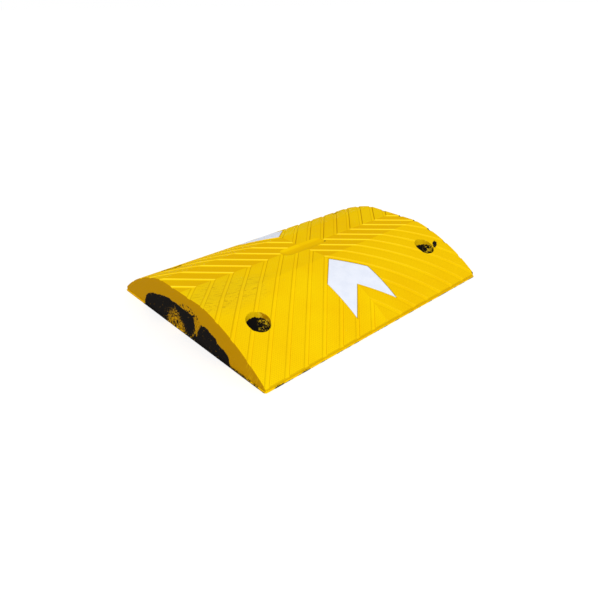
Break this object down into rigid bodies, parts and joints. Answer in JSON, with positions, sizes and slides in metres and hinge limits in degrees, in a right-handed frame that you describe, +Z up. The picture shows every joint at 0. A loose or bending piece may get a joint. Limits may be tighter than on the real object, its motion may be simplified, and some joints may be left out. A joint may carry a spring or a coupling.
{
  "type": "rubber speed bump",
  "caption": "Moulded rubber speed bump module with V-grooved slopes, counterbored fixing holes and inlaid chevron arrow panels.",
  "frame": {"origin": "on the road surface at the middle of the module", "axes": "+X across the lane along the module's length, +Y with the traffic, +Z up"},
  "size_m": [0.5, 0.4, 0.073],
  "materials": {
    "painted_rubber": "semi-gloss yellow paint over black rubber",
    "reflective_sheet": "fine-beaded white reflective sheet"
  },
  "bodies": {
    "root": {"rubber_body": "painted_rubber", "front_arrow": "reflective_sheet", "rear_arrow": "reflective_sheet"}
  },
  "joints": []
}
